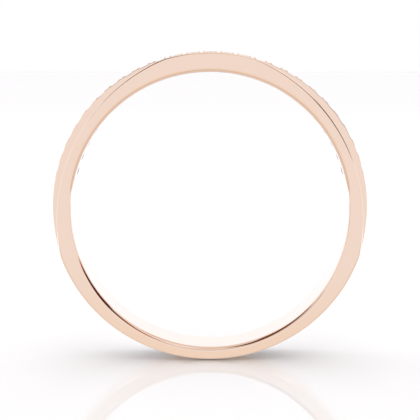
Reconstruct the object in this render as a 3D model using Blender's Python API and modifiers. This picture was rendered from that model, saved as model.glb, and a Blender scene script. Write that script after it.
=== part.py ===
"""Half-eternity wedding band: a tapered band, a stone-set strip let into its crown, and its stones.

The origin is the middle of the finger hole, whose axis lies along Y, with the stones uppermost. All
lengths are in metres. Angles around the band are measured from its top, towards +X.
"""

import math

import bmesh
import bpy
from mathutils import Euler, Matrix, Vector

MM = 0.001

# The band.
BAND_WIDTH = 3.0 * MM  # side face to side face, along the finger
FINGER_RADIUS = 8.675 * MM  # ring size 7
OUTER_RADIUS = 9.94 * MM  # over the crown of the outer surface
FLATTENING = 0.979  # the outer form is a little lower than it is wide
OUTER_HEIGHT = 0.21 * MM  # its centre above the hole's, which makes the band thickest at the top
OUTER_DOME = 0.09 * MM  # how far the outer surface rises from its edges to its middle
CROWN_HALF_WIDTH = 0.46 * MM  # the flat middle of the outer surface
OUTER_ROUNDING = 0.11 * MM
INNER_ROUNDING = 0.28 * MM  # the comfort edge on both sides of the finger hole

# The scooped shoulders, which leave a narrow rib standing in the middle of the band.
RIB_HALF_WIDTH = 0.74 * MM
SCOOP_RADIUS = 10.99 * MM
SCOOP_CENTRE = (1.40 * MM, -0.86 * MM)  # from the outer form's centre: away from the shoulder, up
SCOOP_ROUNDING = 0.12 * MM

# The stones and their strip.
STONE_COUNT = 25
STONE_PITCH = math.radians(6.25)
STONE_RADIUS = 0.47 * MM
TABLE_RADIUS = 0.27 * MM
CROWN_HEIGHT = 0.155 * MM
GIRDLE_HALF = 0.02 * MM
PAVILION_DEPTH = 0.42 * MM
GIRDLE_RADIUS = 9.71 * MM  # from the outer form's centre
STRIP_RADIUS = 9.90 * MM
STRIP_FLOOR = 9.02 * MM
STRIP_HALF_ANGLE = math.radians(80.5)
SEAT_CLEARANCE = 0.03 * MM
WINDOW_RADIUS = 0.26 * MM  # the opening under each stone, through to the finger
PRONG_RADIUS = 0.085 * MM
PRONG_TOP = 0.24 * MM  # above the girdle
PRONG_ROOT = -0.10 * MM
PRONG_SPREAD = 0.135 * MM  # each prong from the middle of its gap, around the band
PRONG_OFFSET = 0.42 * MM  # each prong from the middle of the strip, along the finger

JOINT_GAP = 0.02 * MM  # solder line between strip and band
OVERRUN = 0.6 * MM  # how far a cutter passes the surface that it opens
MERGE = 0.000001

BAND_STEPS = 72
CUTTER_STEPS = 90
STRIP_STEPS = 32
STONE_SIDES = 10
WINDOW_SIDES = 6
PRONG_SIDES = 6
ROUNDING_STEPS = 3

ROSE_GOLD = ("rose_gold", (0.88, 0.69, 0.58, 1.0), 1.0, 0.12)
STONE = ("stone", (0.92, 0.95, 1.0, 1.0), 0.0, 0.02)


def clear_scene():
    for old in list(bpy.data.objects):
        bpy.data.objects.remove(old, do_unlink=True)


def new_collection(name, helper=False):
    collection = bpy.data.collections.new(name)
    collection.hide_render = helper
    bpy.context.scene.collection.children.link(collection)
    return collection


def new_material(name, colour, metallic, roughness):
    material = bpy.data.materials.new(name)
    material.use_nodes = True
    shader = material.node_tree.nodes["Principled BSDF"]
    shader.inputs["Base Color"].default_value = colour
    shader.inputs["Metallic"].default_value = metallic
    shader.inputs["Roughness"].default_value = roughness
    return material


def new_object(name, mesh, collection, material=None):
    thing = bpy.data.objects.new(name, mesh)
    collection.objects.link(thing)
    if material:
        mesh.materials.append(material)
        mesh.shade_smooth()
        mesh.set_sharp_from_angle(angle=math.radians(30))
    if collection.hide_render:
        thing.hide_render = True
        thing.display_type = "WIRE"
    return thing


def arc(centre, radius, start, stop, steps):
    """Points on an arc from start to stop, in degrees from the radial direction towards the axial one."""
    angles = [math.radians(start + (stop - start) * i / steps) for i in range(steps + 1)]
    return [(centre[0] + radius * math.cos(a), centre[1] + radius * math.sin(a)) for a in angles]


def outline_mesh(name, outline, closed):
    """A profile in the XZ plane, from (radius, axial) points."""
    count = len(outline)
    edges = [(i, i + 1) for i in range(count - 1)]
    if closed:
        edges.append((count - 1, 0))
    mesh = bpy.data.meshes.new(name)
    mesh.from_pydata([(radius, 0.0, axial) for radius, axial in outline], edges, [])
    return mesh


def turned(name, outline, collection, material=None, closed=True, steps=BAND_STEPS):
    """An outline turned once around its object's Z axis, which is then laid along the finger."""
    thing = new_object(name, outline_mesh(name, outline, closed), collection, material)
    screw = thing.modifiers.new("turn", "SCREW")
    screw.axis = "Z"
    screw.steps = steps
    screw.render_steps = steps
    screw.use_merge_vertices = True
    screw.merge_threshold = MERGE
    thing.rotation_euler = Euler((math.pi / 2, 0.0, 0.0))
    return thing


def turned_piece(name, outline, sides):
    """A mesh of a small turned solid around Z, whose outline runs from axis to axis, top to bottom."""
    shape = bpy.data.objects.new(name, outline_mesh(name, outline, False))
    bpy.context.scene.collection.objects.link(shape)
    screw = shape.modifiers.new("turn", "SCREW")
    screw.steps = sides
    screw.render_steps = sides
    screw.use_merge_vertices = True
    screw.merge_threshold = MERGE
    mesh = bpy.data.meshes.new_from_object(shape.evaluated_get(bpy.context.evaluated_depsgraph_get()))
    bpy.data.objects.remove(shape, do_unlink=True)
    mesh.name = name
    return mesh


def place_on_band(angle, radius, around=0.0, along=0.0):
    """A matrix whose Z axis leaves the outer form squarely at this angle, and whose Y runs along the finger."""
    foot = Vector((radius * math.sin(angle), 0.0, OUTER_HEIGHT + FLATTENING * radius * math.cos(angle)))
    lean = math.atan2(FLATTENING * math.sin(angle), math.cos(angle))
    turn = Matrix.Rotation(lean, 4, "Y")
    return Matrix.Translation(foot) @ turn @ Matrix.Translation((around, along, 0.0))


def gathered(name, mesh, places, collection):
    """One helper object that holds a copy of the mesh at each place."""
    together = bmesh.new()
    for place in places:
        first = len(together.verts)
        together.from_mesh(mesh)
        together.verts.ensure_lookup_table()
        bmesh.ops.transform(together, matrix=place, verts=together.verts[first:])
    result = bpy.data.meshes.new(name)
    together.to_mesh(result)
    together.free()
    return new_object(name, result, collection)


def arc_bar(name, inner, outer, half_width, half_angle, collection, material=None):
    """A rectangular bar bent around the outer form's centre, from one side of the top to the other."""
    bar = bmesh.new()
    corners = [(inner, -half_width), (outer, -half_width), (outer, half_width), (inner, half_width)]
    rotate = Matrix.Rotation(-half_angle, 3, "Y")
    start = [bar.verts.new(rotate @ Vector((0.0, along, radius))) for radius, along in corners]
    face = bar.faces.new(start)
    bmesh.ops.spin(
        bar,
        geom=[face] + list(face.edges) + list(face.verts),
        cent=(0.0, 0.0, 0.0),
        axis=(0.0, 1.0, 0.0),
        angle=2.0 * half_angle,
        steps=STRIP_STEPS,
    )
    for vertex in bar.verts:
        vertex.co.z = OUTER_HEIGHT + FLATTENING * vertex.co.z
    bmesh.ops.recalc_face_normals(bar, faces=bar.faces)
    mesh = bpy.data.meshes.new(name)
    bar.to_mesh(mesh)
    bar.free()
    return new_object(name, mesh, collection, material)


def apply_boolean(thing, other, operation):
    modifier = thing.modifiers.new(other.name, "BOOLEAN")
    modifier.object = other
    modifier.operation = operation
    modifier.solver = "EXACT"


def band_outline():
    """Half the cross-section's outer edge, mirrored, and a plain bore that the finger hole later opens."""
    half = BAND_WIDTH / 2
    edge = OUTER_RADIUS - OUTER_DOME
    core = FINGER_RADIUS - OVERRUN
    corner = arc((edge - OUTER_ROUNDING, half - OUTER_ROUNDING), OUTER_ROUNDING, 90, 0, ROUNDING_STEPS)
    dome = [(OUTER_RADIUS, CROWN_HALF_WIDTH), (OUTER_RADIUS, -CROWN_HALF_WIDTH)]
    lower = [(radius, -along) for radius, along in reversed(corner)]
    return [(core, half)] + corner + dome + lower + [(core, -half)]


def finger_outline():
    """The finger hole, with a rounded comfort edge where it meets each side face."""
    half = BAND_WIDTH / 2
    slight = 0.02 * INNER_ROUNDING  # the rounding crosses the face instead of just touching it
    centre = (FINGER_RADIUS + INNER_ROUNDING, half - INNER_ROUNDING + slight)
    upper = arc(centre, INNER_ROUNDING, 98, 180, ROUNDING_STEPS)
    mouth = upper[0][0]
    lower = [(radius, -along) for radius, along in reversed(upper)]
    top = half + OVERRUN
    return [(0.0, top), (mouth, top)] + upper + lower + [(mouth, -top), (0.0, -top)]


def scoop_outline():
    """The metal that a shoulder loses on one side of the rib, with its lower edge rounded over."""
    half = BAND_WIDTH / 2
    outside = SCOOP_RADIUS + 3 * MM
    centre = (SCOOP_RADIUS - SCOOP_ROUNDING, half - SCOOP_ROUNDING)
    rounding = arc(centre, SCOOP_ROUNDING, 0, 82, ROUNDING_STEPS)
    mouth = rounding[-1][0]
    top = half + OVERRUN
    floor = [(outside, top), (outside, RIB_HALF_WIDTH), (SCOOP_RADIUS, RIB_HALF_WIDTH)]
    return floor + rounding + [(mouth, top)]


def stone_outline():
    """A round brilliant: table, crown, girdle and pavilion."""
    return [
        (0.0, CROWN_HEIGHT),
        (TABLE_RADIUS, CROWN_HEIGHT),
        (STONE_RADIUS, GIRDLE_HALF),
        (STONE_RADIUS, -GIRDLE_HALF),
        (0.0, -PAVILION_DEPTH),
    ]


def seat_outline():
    """The seat under a stone: a straight wall, a cone beside the pavilion, and the window below it."""
    wall = STONE_RADIUS + SEAT_CLEARANCE
    shoulder = -GIRDLE_HALF - SEAT_CLEARANCE
    slope = (PAVILION_DEPTH - GIRDLE_HALF) / STONE_RADIUS
    waist = shoulder - slope * (wall - WINDOW_RADIUS)
    bottom = STRIP_FLOOR - GIRDLE_RADIUS - OVERRUN
    upper = [(0.0, OVERRUN), (wall, OVERRUN), (wall, shoulder)]
    return upper + [(WINDOW_RADIUS, waist), (WINDOW_RADIUS, bottom), (0.0, bottom)]


def window_outline():
    """The hole through the band below a stone, from the strip's channel to the finger."""
    top = STRIP_FLOOR - GIRDLE_RADIUS + OVERRUN / 2
    bottom = FINGER_RADIUS - GIRDLE_RADIUS - OVERRUN
    return [(0.0, top), (WINDOW_RADIUS, top), (WINDOW_RADIUS, bottom), (0.0, bottom)]


def prong_outline():
    """A prong's round shank and its blunt tip."""
    return [(0.0, PRONG_TOP), (PRONG_RADIUS, PRONG_TOP), (PRONG_RADIUS, PRONG_ROOT), (0.0, PRONG_ROOT)]


def stone_angles():
    return [(i - (STONE_COUNT - 1) / 2) * STONE_PITCH for i in range(STONE_COUNT)]


def gap_angles():
    return [(i - STONE_COUNT / 2) * STONE_PITCH for i in range(STONE_COUNT + 1)]


def make_scoops(cutters):
    """Two scoops on each side face, one for each shoulder."""
    scoops = []
    for side in (-1, 1):
        for shoulder in (-1, 1):
            name = f"scoop_{'front' if side < 0 else 'back'}_{'left' if shoulder < 0 else 'right'}"
            scoop = turned(name, scoop_outline(), cutters, steps=CUTTER_STEPS)
            if side > 0:
                scoop.rotation_euler = Euler((-math.pi / 2, 0.0, 0.0))
            scoop.location = (-shoulder * SCOOP_CENTRE[0], 0.0, OUTER_HEIGHT + SCOOP_CENTRE[1])
            scoops.append(scoop)
    return scoops


def make_band(band, cutters, gold):
    shank = turned("shank", band_outline(), band, gold)
    shank.location = (0.0, 0.0, OUTER_HEIGHT)
    shank.scale = (1.0, FLATTENING, 1.0)
    for scoop in make_scoops(cutters):
        apply_boolean(shank, scoop, "DIFFERENCE")
    channel = arc_bar(
        "channel",
        STRIP_FLOOR - JOINT_GAP,
        OUTER_RADIUS + OVERRUN,
        RIB_HALF_WIDTH + JOINT_GAP,
        STRIP_HALF_ANGLE + JOINT_GAP / STRIP_FLOOR,
        cutters,
    )
    apply_boolean(shank, channel, "DIFFERENCE")
    hole = turned("finger_hole", finger_outline(), cutters, closed=False, steps=CUTTER_STEPS)
    apply_boolean(shank, hole, "DIFFERENCE")
    window = turned_piece("window", window_outline(), WINDOW_SIDES)
    places = [place_on_band(angle, GIRDLE_RADIUS) for angle in stone_angles()]
    windows = gathered("windows", window, places, cutters)
    apply_boolean(shank, windows, "DIFFERENCE")


def make_strip(band, cutters, gold):
    strip = arc_bar("setting_strip", STRIP_FLOOR, STRIP_RADIUS, RIB_HALF_WIDTH, STRIP_HALF_ANGLE, band, gold)
    seat = turned_piece("seat", seat_outline(), STONE_SIDES)
    places = [place_on_band(angle, GIRDLE_RADIUS) for angle in stone_angles()]
    apply_boolean(strip, gathered("seats", seat, places, cutters), "DIFFERENCE")
    prong = turned_piece("prong", prong_outline(), PRONG_SIDES)
    places = [
        place_on_band(angle, GIRDLE_RADIUS, around * PRONG_SPREAD, along * PRONG_OFFSET)
        for angle in gap_angles()
        for around in (-1, 1)
        for along in (-1, 1)
    ]
    apply_boolean(strip, gathered("prongs", prong, places, cutters), "UNION")


def make_stones(band, material):
    mesh = turned_piece("brilliant", stone_outline(), STONE_SIDES)
    mesh.materials.append(material)
    for number, angle in enumerate(stone_angles(), start=1):
        stone = bpy.data.objects.new(f"stone_{number:02d}", mesh)
        stone.matrix_world = place_on_band(angle, GIRDLE_RADIUS)
        band.objects.link(stone)


def main():
    clear_scene()
    band = new_collection("wedding_band")
    cutters = new_collection("cutters", helper=True)
    gold = new_material(*ROSE_GOLD)
    make_band(band, cutters, gold)
    make_strip(band, cutters, gold)
    make_stones(band, new_material(*STONE))


main()
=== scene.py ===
"""Looks of the half-eternity wedding band: polished rose gold, small brilliants, a glossy white floor.

The origin is the middle of the finger hole, whose axis lies along Y. Angles around the band are
measured from its top, towards +X. A point of the band is given by its angle, its radius in the outer
form (a circle flattened by FLATTENING about its centre) and its place along the finger.
"""

import math

import bmesh
import bpy
from mathutils import Matrix, Vector


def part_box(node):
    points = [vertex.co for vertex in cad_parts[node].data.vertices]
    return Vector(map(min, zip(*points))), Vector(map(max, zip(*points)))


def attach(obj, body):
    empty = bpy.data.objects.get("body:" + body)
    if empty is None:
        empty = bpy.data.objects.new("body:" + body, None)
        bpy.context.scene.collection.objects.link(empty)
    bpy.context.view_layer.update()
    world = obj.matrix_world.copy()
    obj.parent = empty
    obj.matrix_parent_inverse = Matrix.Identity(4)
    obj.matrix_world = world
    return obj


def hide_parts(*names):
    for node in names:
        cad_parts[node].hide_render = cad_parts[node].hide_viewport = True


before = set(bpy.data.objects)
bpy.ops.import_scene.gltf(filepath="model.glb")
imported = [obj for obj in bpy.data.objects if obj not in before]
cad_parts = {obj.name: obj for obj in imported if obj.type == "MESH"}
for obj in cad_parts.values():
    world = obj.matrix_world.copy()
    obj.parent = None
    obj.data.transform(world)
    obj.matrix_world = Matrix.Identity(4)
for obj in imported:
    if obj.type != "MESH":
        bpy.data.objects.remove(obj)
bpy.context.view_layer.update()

MM = 0.001
SHANK_LOW, SHANK_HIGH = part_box("shank")

# The band, in the CAD model's dimensions.
HALF_WIDTH = SHANK_HIGH.y
OUTER_RADIUS = SHANK_HIGH.x
OUTER_HEIGHT = 0.21 * MM  # the outer form's centre above the finger hole's
FLATTENING = (OUTER_HEIGHT - SHANK_LOW.z) / OUTER_RADIUS
FLOOR_HEIGHT = SHANK_LOW.z
FLOOR_HALF_SIDE = 0.5  # metres
FINGER_RADIUS = 8.675 * MM
OUTER_DOME = 0.09 * MM  # at the bottom; it fades to nothing beside the stones at the top
OUTER_ROUNDING = 0.11 * MM
INNER_ROUNDING = 0.28 * MM
RIB_HALF_WIDTH = 0.74 * MM
RIB_ROUNDING = 0.045 * MM
RIB_DROP = 0.04 * MM  # how much lower the rib is where it meets the strip
RIB_DROP_END = math.radians(108)  # from the top; beyond it the rib has its full height
SCOOP_RADIUS = 10.99 * MM
SCOOP_CENTRE = (1.40 * MM, -0.86 * MM)  # from the outer form's centre: away from the shoulder, up
SCOOP_BLEND = 0.012 * MM  # how far polishing softens the edge where a scoop leaves the outer surface

# The stones and their strip.
STONE_COUNT = 25
STONE_PITCH = math.radians(6.25)
STONE_RADIUS = 0.47 * MM
TABLE_RADIUS = 0.265 * MM
STAR_RADIUS = 0.37 * MM  # where the star facets' points lie
LOWER_RADIUS = 0.12 * MM  # where the lower girdle facets' points lie
CROWN_HEIGHT = 0.155 * MM
GIRDLE_HALF = 0.012 * MM
PAVILION_DEPTH = 0.42 * MM
GIRDLE_RADIUS = 9.71 * MM
STRIP_RADIUS = 9.90 * MM
STRIP_FLOOR = 9.02 * MM
STRIP_HALF_ANGLE = math.radians(80.5)
STRIP_FLAT_HALF = 0.55 * MM  # the flat between the two scalloped rims
SCALLOP_DEPTH = 0.035 * MM
SEAT_CLEARANCE = 0.012 * MM
WINDOW_RADIUS = 0.26 * MM
PRONG_RADIUS = 0.085 * MM
PRONG_TOP = 0.235 * MM
PRONG_ROOT = -0.10 * MM
PRONG_SPREAD = 0.135 * MM
PRONG_OFFSET = 0.42 * MM
PRONG_LEAN = 0.06 * MM  # how far a tip is pushed over the edge of its stone
SOLDER_LINE = 0.001 * MM  # the joint between the strip and its channel

# How far the cutters of seats and windows reach past the metal that they cut.
CUTTER_TOP = 0.4 * MM  # above the girdles
PAST_CHANNEL = 0.2 * MM  # on both sides of the channel's floor
PAST_HOLE = 0.5 * MM  # into the finger hole

# Mesh steps.
STATION_STEP = math.radians(0.6)
FILLET_STEPS = 9
EDGE_STEPS = 7
SHOULDER_STEPS = 12
CROWN_STEPS = 6
RIM_STEPS = 4
TIP_STEPS = 5
PRONG_SIDES = 14
WINDOW_SIDES = 32
SEAT_SIDES = 40
SUPPORT = 0.015 * MM  # a loop this close to a rounding keeps the flat beside it flat
CREASE_ANGLE = math.radians(30)

# The camera, a long lens a little above the band.
CAMERA_DISTANCE = 77.8 * MM  # from the front face
CAMERA_HEIGHT = 11.52 * MM  # above the finger hole's axis
CAMERA_PITCH = math.radians(6.07)
CAMERA_LENS = 108.0
CAMERA_SHIFT = -0.12

GOLD = (0.885, 0.69, 0.58, 1.0)


def new_object(name, mesh, material=None):
    """An object in the scene, with one material where one is given."""
    thing = bpy.data.objects.new(name, mesh)
    bpy.context.scene.collection.objects.link(thing)
    if material:
        mesh.materials.clear()
        mesh.materials.append(material)
    return thing


def shade_round(mesh):
    mesh.shade_smooth()
    mesh.set_sharp_from_angle(angle=CREASE_ANGLE)


# ---- Geometry of the band ----


def reach(angle, centre, radius):
    """The radius, in the outer form, at which a ray from its centre meets a circle in the XZ plane."""
    across, up = math.sin(angle), FLATTENING * math.cos(angle)
    length = across * across + up * up
    towards = across * centre[0] + up * centre[1]
    beyond = centre[0] ** 2 + centre[1] ** 2 - radius ** 2
    return (towards + math.sqrt(towards * towards - length * beyond)) / length


def hole_reach(angle):
    return reach(angle, (0.0, -OUTER_HEIGHT), FINGER_RADIUS)


def scoop_reach(angle):
    away = -math.copysign(SCOOP_CENTRE[0], math.sin(angle))
    return reach(angle, (away, SCOOP_CENTRE[1]), SCOOP_RADIUS)


def soft_min(a, b):
    """The smaller of two heights, with the crossing rounded over SCOOP_BLEND."""
    gap = max(0.0, 1.0 - abs(a - b) / SCOOP_BLEND)
    return min(a, b) - gap * gap * SCOOP_BLEND / 4


def crown(angle, along):
    """The domed outer surface's radius, which comes down to the strip's along the end of the rib."""
    flat = HALF_WIDTH - OUTER_ROUNDING
    dome = OUTER_DOME * (1 - math.cos(angle)) / 2
    from_top = math.acos(math.cos(angle))
    near = min(1.0, max(0.0, (RIB_DROP_END - from_top) / (RIB_DROP_END - STRIP_HALF_ANGLE)))
    drop = RIB_DROP * near * near * (3 - 2 * near)
    return OUTER_RADIUS - drop - dome * (along / flat) ** 2


def shoulder(angle, along):
    """The outer surface beside the rib: the dome, or the scoop where that lies lower."""
    return soft_min(crown(angle, along), scoop_reach(angle))


def quarter(centre, radius, steps):
    """Points of a quarter circle that turns from along the finger to outwards, without the first."""
    turns = [math.pi / 2 * i / steps for i in range(1, steps + 1)]
    return [(centre[0] + radius * math.sin(a), centre[1] + radius * math.cos(a)) for a in turns]


def spread(first, last, steps):
    """Evenly spaced numbers from first to last, both included."""
    return [first + (last - first) * i / steps for i in range(steps + 1)]


def half_section(angle, channel):
    """Half of the section, as (radius, along) points.

    They run from the middle of the finger hole's wall, over the +Y face, to the middle of the crown, or
    of the channel's floor. Both kinds have the same number of points, so that all the rings join.
    """
    hole = hole_reach(angle)
    start = HALF_WIDTH - INNER_ROUNDING
    points = [(hole, along) for along in (0.0, 0.4 * start, 0.8 * start, start - SUPPORT, start)]
    for i in range(1, FILLET_STEPS + 1):
        turn = math.pi / 2 * i / FILLET_STEPS
        radius = hole + INNER_ROUNDING * (1 - math.cos(turn))
        points.append((radius, start + INNER_ROUNDING * math.sin(turn)))
    flat = HALF_WIDTH - OUTER_ROUNDING
    edge = shoulder(angle, flat) - OUTER_ROUNDING
    inner_edge = hole + INNER_ROUNDING
    face = [inner_edge + SUPPORT, (inner_edge + edge) / 2, edge - SUPPORT, edge]
    points += [(radius, HALF_WIDTH) for radius in face]
    points += quarter((edge, flat), OUTER_ROUNDING, EDGE_STEPS)
    wall = RIB_HALF_WIDTH + SOLDER_LINE if channel else RIB_HALF_WIDTH
    points += [(shoulder(angle, along), along) for along in spread(flat, wall, SHOULDER_STEPS)[1:]]
    if channel:
        floor = STRIP_FLOOR - SOLDER_LINE
        points += [(floor, along) for along in spread(wall, 0.0, EDGE_STEPS + CROWN_STEPS)]
        return points
    top = crown(angle, wall)
    rounding = min(RIB_ROUNDING, (top - shoulder(angle, wall)) / 2)
    points.append((top - rounding, wall))
    for i in range(1, EDGE_STEPS + 1):
        turn = math.pi / 2 * i / EDGE_STEPS
        along = wall - rounding * (1 - math.cos(turn))
        points.append((crown(angle, along) - rounding * (1 - math.sin(turn)), along))
    points += [(crown(angle, along), along) for along in spread(wall - rounding, 0.0, CROWN_STEPS)[1:]]
    return points


def section(angle, channel):
    """The whole closed section: the half on the +Y side, then its mirror image."""
    half = half_section(angle, channel)
    return half + [(radius, -along) for radius, along in reversed(half[1:-1])]


def placed(angle, radius, along):
    height = OUTER_HEIGHT + FLATTENING * radius * math.cos(angle)
    return (radius * math.sin(angle), along, height)


def even_angles(first, last):
    steps = math.ceil((last - first) / STATION_STEP)
    return [first + (last - first) * i / steps for i in range(steps + 1)]


def loft(name, rings, closed):
    """A mesh of quads between rings of points, joined end to end or capped."""
    size = len(rings[0])
    verts = [point for ring in rings for point in ring]
    faces = []
    last = len(rings) if closed else len(rings) - 1
    for i in range(last):
        a = i * size
        b = (i + 1) % len(rings) * size
        for j in range(size):
            k = (j + 1) % size
            faces.append((a + j, a + k, b + k, b + j))
    if not closed:
        faces.append(tuple(reversed(range(size))))
        faces.append(tuple(range(len(verts) - size, len(verts))))
    mesh = bpy.data.meshes.new(name)
    mesh.from_pydata(verts, [], faces)
    shape = bmesh.new()
    shape.from_mesh(mesh)
    bmesh.ops.remove_doubles(shape, verts=shape.verts, dist=1e-8)
    bmesh.ops.dissolve_degenerate(shape, edges=shape.edges, dist=1e-8)
    bmesh.ops.recalc_face_normals(shape, faces=shape.faces)
    shape.to_mesh(mesh)
    shape.free()
    return mesh


def place_on_band(angle, around=0.0, along=0.0):
    """A matrix at the girdles' radius, its Z axis out of the band and its Y axis along the finger."""
    foot = Vector(placed(angle, GIRDLE_RADIUS, 0.0))
    lean = math.atan2(FLATTENING * math.sin(angle), math.cos(angle))
    turn = Matrix.Rotation(lean, 4, "Y")
    return Matrix.Translation(foot) @ turn @ Matrix.Translation((around, along, 0.0))


def stone_angles():
    return [(i - (STONE_COUNT - 1) / 2) * STONE_PITCH for i in range(STONE_COUNT)]


def gap_angles():
    return [(i - STONE_COUNT / 2) * STONE_PITCH for i in range(STONE_COUNT + 1)]


def turned(outline, sides, lean=None):
    """A bmesh of a small turned solid around Z from (radius, height) points, its rings moved by lean."""
    shape = bmesh.new()
    rings = []
    for radius, height in outline:
        shift = lean(height) if lean else Vector((0.0, 0.0, 0.0))
        if radius == 0.0:
            rings.append([shape.verts.new(shift + Vector((0.0, 0.0, height)))])
            continue
        turns = [2 * math.pi * i / sides for i in range(sides)]
        rings.append([
            shape.verts.new(shift + Vector((radius * math.cos(a), radius * math.sin(a), height)))
            for a in turns
        ])
    for upper, lower in zip(rings, rings[1:]):
        for i in range(sides):
            k = (i + 1) % sides
            corners = [
                upper[i % len(upper)],
                lower[i % len(lower)],
                lower[k % len(lower)],
                upper[k % len(upper)],
            ]
            shape.faces.new(list(dict.fromkeys(corners)))  # a ring of one point gives triangles
    bmesh.ops.recalc_face_normals(shape, faces=shape.faces)
    return shape


def gathered(name, shapes_and_places):
    """One mesh with a copy of each shape at its place."""
    together = bmesh.new()
    for shape, place in shapes_and_places:
        part = bpy.data.meshes.new("part")
        shape.to_mesh(part)
        first = len(together.verts)
        together.from_mesh(part)
        together.verts.ensure_lookup_table()
        bmesh.ops.transform(together, matrix=place, verts=together.verts[first:])
        bpy.data.meshes.remove(part)
    mesh = bpy.data.meshes.new(name)
    together.to_mesh(mesh)
    together.free()
    return mesh


def cut(piece, cutter_mesh):
    """Takes the cutters out of a piece for good."""
    cutter = new_object("cutter", cutter_mesh)
    modifier = piece.modifiers.new("cut", "BOOLEAN")
    modifier.operation = "DIFFERENCE"
    modifier.solver = "EXACT"
    modifier.object = cutter
    graph = bpy.context.evaluated_depsgraph_get()
    mesh = bpy.data.meshes.new_from_object(piece.evaluated_get(graph))
    piece.modifiers.clear()
    piece.data = mesh
    bpy.data.objects.remove(cutter, do_unlink=True)
    shade_round(mesh)


def make_band(gold):
    """The shank: hole, comfort edges, faces, scooped shoulders, rib, and the channel for the strip."""
    inside = even_angles(-STRIP_HALF_ANGLE, STRIP_HALF_ANGLE)
    end = STRIP_HALF_ANGLE + SOLDER_LINE / STRIP_FLOOR
    outside = even_angles(end, 2 * math.pi - end)
    stations = [(angle, True) for angle in inside] + [(angle, False) for angle in outside]
    rings = [
        [placed(angle, radius, along) for radius, along in section(angle, channel)]
        for angle, channel in stations
    ]
    band = new_object("band_metal", loft("band_metal", rings, True), gold)
    top = STRIP_FLOOR - GIRDLE_RADIUS + PAST_CHANNEL
    bottom = FINGER_RADIUS - GIRDLE_RADIUS - PAST_HOLE
    outline = [(0.0, top), (WINDOW_RADIUS, top), (WINDOW_RADIUS, bottom), (0.0, bottom)]
    window = turned(outline, WINDOW_SIDES)
    cut(band, gathered("windows", [(window, place_on_band(angle)) for angle in stone_angles()]))
    window.free()
    return band


def strip_top(angle):
    """The strip's outer edge: lowest beside each stone, highest beside each gap."""
    beside_stone = (1 + math.cos(2 * math.pi * angle / STONE_PITCH)) / 2
    return STRIP_RADIUS - SCALLOP_DEPTH * beside_stone


def make_strip(gold):
    """The setting strip, scalloped along its outer edges, with a seat under each stone."""
    rings = []
    for angle in even_angles(-STRIP_HALF_ANGLE, STRIP_HALF_ANGLE):
        edge = strip_top(angle) - RIB_ROUNDING
        half = [(STRIP_FLOOR, 0.0), (STRIP_FLOOR, RIB_HALF_WIDTH)]
        half += [(edge - SUPPORT, RIB_HALF_WIDTH), (edge, RIB_HALF_WIDTH)]
        half += quarter((edge, RIB_HALF_WIDTH - RIB_ROUNDING), RIB_ROUNDING, RIM_STEPS)
        half.append((STRIP_RADIUS - SCALLOP_DEPTH, STRIP_FLAT_HALF))
        half.append((STRIP_RADIUS - SCALLOP_DEPTH, 0.0))
        whole = half + [(radius, -along) for radius, along in reversed(half[1:-1])]
        rings.append([placed(angle, radius, along) for radius, along in whole])
    strip = new_object("strip_metal", loft("strip_metal", rings, False), gold)
    wall = STONE_RADIUS + SEAT_CLEARANCE
    ledge = -GIRDLE_HALF - SEAT_CLEARANCE
    slope = (PAVILION_DEPTH - GIRDLE_HALF) / STONE_RADIUS
    waist = ledge - slope * (wall - WINDOW_RADIUS)
    bottom = STRIP_FLOOR - GIRDLE_RADIUS - PAST_CHANNEL
    outline = [
        (0.0, CUTTER_TOP),
        (wall, CUTTER_TOP),
        (wall, ledge),
        (WINDOW_RADIUS, waist),
        (WINDOW_RADIUS, bottom),
        (0.0, bottom),
    ]
    seat = turned(outline, SEAT_SIDES)
    cut(strip, gathered("seats", [(seat, place_on_band(angle)) for angle in stone_angles()]))
    seat.free()
    return strip


def make_prongs(gold):
    """Four bead-tipped prongs in each gap, each pushed over the edge of the stone beside it."""
    shoulder_height = PRONG_TOP - PRONG_RADIUS
    outline = [(0.0, PRONG_TOP)]
    for i in range(1, TIP_STEPS + 1):
        a = math.pi / 2 * i / TIP_STEPS
        outline.append((PRONG_RADIUS * math.sin(a), shoulder_height + PRONG_RADIUS * math.cos(a)))
    outline.append((PRONG_RADIUS, shoulder_height / 2))
    outline.append((PRONG_RADIUS, PRONG_ROOT))
    outline.append((0.0, PRONG_ROOT))
    shapes = []
    pieces = []
    half_gap = GIRDLE_RADIUS * STONE_PITCH / 2
    for around in (-1, 1):
        for along in (-1, 1):
            to_stone = Vector((around * (half_gap - PRONG_SPREAD), -along * PRONG_OFFSET, 0.0)).normalized()

            def lean(height, way=to_stone):
                rise = max(0.0, height) / PRONG_TOP
                return way * PRONG_LEAN * rise * rise

            shape = turned(outline, PRONG_SIDES, lean)
            shapes.append(shape)
            pieces += [
                (shape, place_on_band(angle, around * PRONG_SPREAD, along * PRONG_OFFSET))
                for angle in gap_angles()
            ]
    mesh = gathered("prongs", pieces)
    for shape in shapes:
        shape.free()
    shade_round(mesh)
    return new_object("prongs", mesh, gold)


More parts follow.
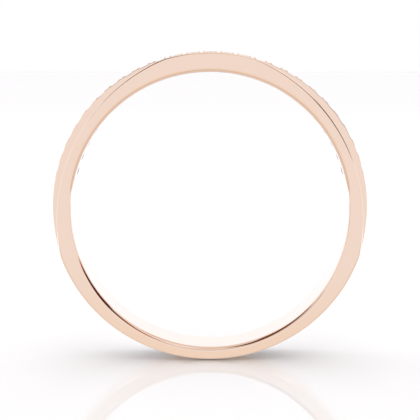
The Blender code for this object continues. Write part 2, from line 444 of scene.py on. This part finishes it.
def brilliant_mesh():
    """A round brilliant of 57 facets: table, stars, kites, upper and lower girdle facets, mains."""
    eighth = math.pi / 4
    slope = (CROWN_HEIGHT - GIRDLE_HALF) / (STONE_RADIUS - TABLE_RADIUS)
    star_height = CROWN_HEIGHT - slope * (STAR_RADIUS * math.cos(eighth / 2) - TABLE_RADIUS)
    pavilion = (PAVILION_DEPTH - GIRDLE_HALF) / STONE_RADIUS
    lower_height = -PAVILION_DEPTH + pavilion * LOWER_RADIUS * math.cos(eighth / 2)
    stone = bmesh.new()

    def ring(radius, height, count, turn):
        angles = [2 * math.pi * i / count + turn for i in range(count)]
        return [stone.verts.new((radius * math.cos(a), radius * math.sin(a), height)) for a in angles]

    table = ring(TABLE_RADIUS, CROWN_HEIGHT, 8, 0.0)
    stars = ring(STAR_RADIUS, star_height, 8, eighth / 2)
    upper = ring(STONE_RADIUS, GIRDLE_HALF, 16, 0.0)
    under = ring(STONE_RADIUS, -GIRDLE_HALF, 16, 0.0)
    lowers = ring(LOWER_RADIUS, lower_height, 8, eighth / 2)
    culet = stone.verts.new((0.0, 0.0, -PAVILION_DEPTH))
    stone.faces.new(table)
    for i in range(8):
        k = (i + 1) % 8
        before = (i - 1) % 8
        stone.faces.new((table[i], stars[i], table[k]))
        stone.faces.new((table[i], stars[before], upper[2 * i], stars[i]))
        stone.faces.new((stars[i], upper[2 * i], upper[2 * i + 1]))
        stone.faces.new((stars[i], upper[2 * i + 1], upper[2 * k]))
        stone.faces.new((culet, lowers[before], under[2 * i], lowers[i]))
        stone.faces.new((lowers[i], under[2 * i + 1], under[2 * i]))
        stone.faces.new((lowers[i], under[2 * k], under[2 * i + 1]))
    for i in range(16):
        k = (i + 1) % 16
        stone.faces.new((upper[i], under[i], under[k], upper[k]))
    bmesh.ops.recalc_face_normals(stone, faces=stone.faces)
    mesh = bpy.data.meshes.new("brilliant")
    stone.to_mesh(mesh)
    stone.free()
    return mesh


def make_stones(material):
    """The brilliants, from the -X end of the row to the +X end, sharing one mesh."""
    mesh = brilliant_mesh()
    stones = []
    for number, angle in enumerate(stone_angles(), start=1):
        stone = new_object(f"brilliant_{number:02d}", mesh, material)
        stone.matrix_world = place_on_band(angle)
        stones.append(stone)
    return stones


# ---- Materials ----


def new_material(name):
    """A material, with its nodes and links."""
    material = bpy.data.materials.new(name)
    material.use_nodes = True
    return material, material.node_tree.nodes, material.node_tree.links


def gold_material():
    """Mirror-polished pink gold with the faint haze and hairlines that a polishing wheel leaves."""
    material, nodes, links = new_material("polished_rose_gold")
    shader = nodes["Principled BSDF"]
    shader.inputs["Metallic"].default_value = 1.0
    coords = nodes.new("ShaderNodeTexCoord")

    haze = nodes.new("ShaderNodeTexNoise")
    haze.inputs["Scale"].default_value = 900.0
    haze.inputs["Detail"].default_value = 3.0
    links.new(coords.outputs["Object"], haze.inputs["Vector"])

    tint = nodes.new("ShaderNodeMix")
    tint.data_type = "RGBA"
    tint.inputs["A"].default_value = GOLD
    tint.inputs["B"].default_value = tuple(channel * 0.985 for channel in GOLD[:3]) + (1.0,)
    links.new(haze.outputs["Fac"], tint.inputs["Factor"])
    links.new(tint.outputs["Result"], shader.inputs["Base Color"])

    gloss = nodes.new("ShaderNodeMapRange")
    gloss.inputs["From Min"].default_value = 0.3
    gloss.inputs["From Max"].default_value = 0.7
    gloss.inputs["To Min"].default_value = 0.02
    gloss.inputs["To Max"].default_value = 0.05
    links.new(haze.outputs["Fac"], gloss.inputs["Value"])
    links.new(gloss.outputs["Result"], shader.inputs["Roughness"])

    stretch = nodes.new("ShaderNodeMapping")
    stretch.inputs["Scale"].default_value = (2500.0, 26000.0, 2500.0)
    links.new(coords.outputs["Object"], stretch.inputs["Vector"])
    hairlines = nodes.new("ShaderNodeTexNoise")
    hairlines.inputs["Scale"].default_value = 1.0
    hairlines.inputs["Detail"].default_value = 2.0
    links.new(stretch.outputs["Vector"], hairlines.inputs["Vector"])
    bump = nodes.new("ShaderNodeBump")
    bump.inputs["Strength"].default_value = 0.05
    bump.inputs["Distance"].default_value = 0.000002
    links.new(hairlines.outputs["Fac"], bump.inputs["Height"])
    links.new(bump.outputs["Normal"], shader.inputs["Normal"])
    return material


def stone_material():
    """Clear colourless stone, each facet polished, with a breath of cool tint."""
    material, nodes, links = new_material("clear_brilliant")
    shader = nodes["Principled BSDF"]
    shader.inputs["Transmission Weight"].default_value = 1.0
    shader.inputs["IOR"].default_value = 2.417
    coords = nodes.new("ShaderNodeTexCoord")
    cloud = nodes.new("ShaderNodeTexNoise")
    cloud.inputs["Scale"].default_value = 1800.0
    links.new(coords.outputs["Object"], cloud.inputs["Vector"])
    tint = nodes.new("ShaderNodeMix")
    tint.data_type = "RGBA"
    tint.inputs["A"].default_value = (0.97, 0.985, 1.0, 1.0)
    tint.inputs["B"].default_value = (1.0, 1.0, 1.0, 1.0)
    links.new(cloud.outputs["Fac"], tint.inputs["Factor"])
    links.new(tint.outputs["Result"], shader.inputs["Base Color"])
    polish = nodes.new("ShaderNodeMapRange")
    polish.inputs["To Min"].default_value = 0.0
    polish.inputs["To Max"].default_value = 0.02
    links.new(cloud.outputs["Fac"], polish.inputs["Value"])
    links.new(polish.outputs["Result"], shader.inputs["Roughness"])
    return material


def floor_material():
    """A white acrylic sheet: matt white under a thin clear gloss."""
    material, nodes, links = new_material("white_acrylic")
    nodes.remove(nodes["Principled BSDF"])
    matt = nodes.new("ShaderNodeBsdfDiffuse")
    matt.inputs["Color"].default_value = (0.96, 0.96, 0.96, 1.0)
    gloss = nodes.new("ShaderNodeBsdfGlossy")
    gloss.inputs["Roughness"].default_value = 0.03
    layers = nodes.new("ShaderNodeMixShader")
    layers.inputs["Fac"].default_value = 0.2
    links.new(matt.outputs["BSDF"], layers.inputs[1])
    links.new(gloss.outputs["BSDF"], layers.inputs[2])
    links.new(layers.outputs["Shader"], nodes["Material Output"].inputs["Surface"])
    return material


# ---- Floor, light and camera ----


def make_floor():
    """The floor, which the band's metal doesn't reflect: the studio's patches stand for it there."""
    shape = bmesh.new()
    bmesh.ops.create_grid(shape, x_segments=1, y_segments=1, size=FLOOR_HALF_SIDE)
    mesh = bpy.data.meshes.new("floor")
    shape.to_mesh(mesh)
    shape.free()
    floor = new_object("floor", mesh, floor_material())
    floor.location.z = FLOOR_HEIGHT
    floor.visible_glossy = False


class Graph:
    """Small helpers for the world's node arithmetic. Angles are in degrees."""

    def __init__(self, tree):
        self.nodes = tree.nodes
        self.links = tree.links

    def plug(self, socket, value):
        if isinstance(value, (int, float)):
            socket.default_value = value
        else:
            self.links.new(value, socket)

    def math(self, operation, a, b=0.0):
        node = self.nodes.new("ShaderNodeMath")
        node.operation = operation
        self.plug(node.inputs[0], a)
        self.plug(node.inputs[1], b)
        return node.outputs["Value"]

    def ramp(self, value, low, high, start=0.0, end=1.0):
        """A smooth step from start to end while value goes from low to high."""
        node = self.nodes.new("ShaderNodeMapRange")
        node.interpolation_type = "SMOOTHSTEP"
        node.inputs["From Min"].default_value = low
        node.inputs["From Max"].default_value = high
        node.inputs["To Min"].default_value = start
        node.inputs["To Max"].default_value = end
        self.links.new(value, node.inputs["Value"])
        return node.outputs["Result"]

    def band(self, value, low, high, soft):
        """1 between low and high, 0 outside, with soft edges."""
        rise = self.ramp(value, low - soft, low + soft)
        fall = self.ramp(value, high - soft, high + soft, 1.0, 0.0)
        return self.math("MULTIPLY", rise, fall)

    def mix(self, factor, a, b):
        """Colours a and b, mixed; each is a tuple or a node's output."""
        node = self.nodes.new("ShaderNodeMix")
        node.data_type = "RGBA"
        self.plug(node.inputs["Factor"], factor)
        for name, value in (("A", a), ("B", b)):
            socket = node.inputs[name]
            if isinstance(value, tuple):
                socket.default_value = value
            else:
                self.links.new(value, socket)
        return node.outputs["Result"]


# Patches of the white studio, in degrees. Azimuth 0 is in front of the band, on the -Y side, 90 is
# on the +X side and 180 is behind it. A patch lies over those before it.
# Behind the band, alike on both sides: (least azimuth either way, elevations, softness, colour).
STUDIO_BEHIND = (
    (100, (-11, 48), 3, (1.17, 1.23, 1.32, 1.0)),
    (100, (-60, -12), 3, (1.75, 1.95, 2.10, 1.0)),
    (160, (-40, -10.5), 2.5, (1.02, 1.00, 0.98, 1.0)),
    (171, (-40, -24), 2, (0.12, 0.10, 0.09, 1.0)),
    (120, (51, 59), 1.5, (0.50, 0.28, 0.14, 1.0)),
)
# In front of the band: (azimuths, elevations, softness, colour).
STUDIO_FRONT = (
    ((-70, 70), (34, 100), 3, (0.90, 0.82, 0.74, 1.0)),
    ((12, 60), (42, 80), 3, (1.05, 1.03, 1.0, 1.0)),
    ((-62, 30), (23, 28), 1.5, (0.32, 0.14, 0.06, 1.0)),
    ((20, 68), (22, 44), 2, (0.50, 0.20, 0.06, 1.0)),
    ((48, 110), (12, 16), 2, (0.55, 0.22, 0.07, 1.0)),
    ((28, 110), (15, 38), 2, (0.09, 0.02, 0.004, 1.0)),
    ((-90, -15), (36, 66), 2, (0.12, 0.03, 0.006, 1.0)),
    ((-30, 30), (-40, -13), 3, (1.0, 0.93, 0.84, 1.0)),
)
# Strips below the band, as (ends along Y of a unit direction, colour). The roundings of the finger
# hole's upper edge reflect them.
UNDERSIDE = (
    ((-0.66, -0.25), (0.78, 0.66, 0.58, 1.0)),
    ((-0.22, 0.45), (0.96, 0.92, 0.87, 1.0)),
    ((0.50, 0.85), (0.76, 0.67, 0.60, 1.0)),
)
UNDERSIDE_TOP = -0.27  # the strips' upper end, along Z
UNDERSIDE_SOFTNESS = 0.03
# Light that has bounced off the floor gets only this colour from steeply below, so the open space
# under the floor doesn't light the band's contact shadow. It fades out between two heights along Z.
UNDER_FLOOR = (0.05, 0.04, 0.03, 1.0)
UNDER_FLOOR_FADE = (-0.8, -0.4)


def make_world():
    """A white studio with pale and dark patches, pure white where the camera looks past the floor."""
    world = bpy.data.worlds.new("studio")
    bpy.context.scene.world = world
    world.use_nodes = True
    tree = world.node_tree
    graph = Graph(tree)
    coords = tree.nodes.new("ShaderNodeTexCoord")
    split = tree.nodes.new("ShaderNodeSeparateXYZ")
    tree.links.new(coords.outputs["Generated"], split.inputs["Vector"])
    x, y, z = (split.outputs[name] for name in "XYZ")
    azimuth = graph.math("DEGREES", graph.math("ARCTAN2", x, graph.math("MULTIPLY", y, -1.0)))
    elevation = graph.math("DEGREES", graph.math("ARCSINE", z))

    from_front = graph.math("ABSOLUTE", azimuth)
    colour = (1.0, 1.0, 1.0, 1.0)
    for least, elevations, soft, patch in STUDIO_BEHIND:
        across = graph.ramp(from_front, least - soft, least + soft)
        up = graph.band(elevation, *elevations, soft)
        colour = graph.mix(graph.math("MULTIPLY", across, up), colour, patch)
    for azimuths, elevations, soft, patch in STUDIO_FRONT:
        across = graph.band(azimuth, *azimuths, soft)
        up = graph.band(elevation, *elevations, soft)
        colour = graph.mix(graph.math("MULTIPLY", across, up), colour, patch)
    soft = UNDERSIDE_SOFTNESS
    below = graph.ramp(z, UNDERSIDE_TOP - soft, UNDERSIDE_TOP + soft, 1.0, 0.0)
    for ends, patch in UNDERSIDE:
        colour = graph.mix(graph.math("MULTIPLY", below, graph.band(y, *ends, soft)), colour, patch)

    path = tree.nodes.new("ShaderNodeLightPath")
    bounced = graph.math("GREATER_THAN", path.outputs["Diffuse Depth"], 0.5)
    under = graph.ramp(z, *UNDER_FLOOR_FADE, 1.0, 0.0)
    colour = graph.mix(graph.math("MULTIPLY", bounced, under), colour, UNDER_FLOOR)

    background = tree.nodes["Background"]
    tree.links.new(colour, background.inputs["Color"])
    background.inputs["Strength"].default_value = 1.0
    white = tree.nodes.new("ShaderNodeBackground")
    white.inputs["Color"].default_value = (1.0, 1.0, 1.0, 1.0)
    choose = tree.nodes.new("ShaderNodeMixShader")
    tree.links.new(path.outputs["Is Camera Ray"], choose.inputs["Fac"])
    tree.links.new(background.outputs["Background"], choose.inputs[1])
    tree.links.new(white.outputs["Background"], choose.inputs[2])
    tree.links.new(choose.outputs["Shader"], tree.nodes["World Output"].inputs["Surface"])


def make_light(name, place, size, energy):
    """A round soft light aimed at the origin, which the metal and the floor don't reflect."""
    data = bpy.data.lights.new(name, "AREA")
    data.shape = "DISK"
    data.size = size
    data.energy = energy
    light = bpy.data.objects.new(name, data)
    bpy.context.scene.collection.objects.link(light)
    light.location = place
    light.rotation_euler = (-Vector(place)).to_track_quat("-Z", "Y").to_euler()
    light.visible_glossy = False


def make_camera():
    data = bpy.data.cameras.new("camera")
    data.lens = CAMERA_LENS
    data.shift_y = CAMERA_SHIFT
    data.clip_start = 0.005
    data.clip_end = 20.0
    camera = bpy.data.objects.new("camera", data)
    bpy.context.scene.collection.objects.link(camera)
    camera.location = (0.0, -HALF_WIDTH - CAMERA_DISTANCE, CAMERA_HEIGHT)
    camera.rotation_euler = (math.pi / 2 - CAMERA_PITCH, 0.0, 0.0)
    bpy.context.scene.camera = camera


bpy.context.scene.view_settings.view_transform = "Standard"
make_camera()
make_floor()
make_world()
make_light("ceiling", place=(0.0, 0.0, 1.0), size=2.2, energy=5.0)
make_light("backdrop", place=(0.0, 0.16, 0.10), size=0.12, energy=0.04)

rose_gold = gold_material()
clear_stone = stone_material()
band_metal = make_band(rose_gold)
strip_metal = make_strip(rose_gold)
prongs = make_prongs(rose_gold)
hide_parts("shank")
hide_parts("setting_strip")
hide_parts("setting_strip")
for metal in (band_metal, strip_metal, prongs):
    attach(metal, "root")
for index, brilliant in enumerate(make_stones(clear_stone), start=1):
    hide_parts(f"stone_{index:02d}")
    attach(brilliant, "root")
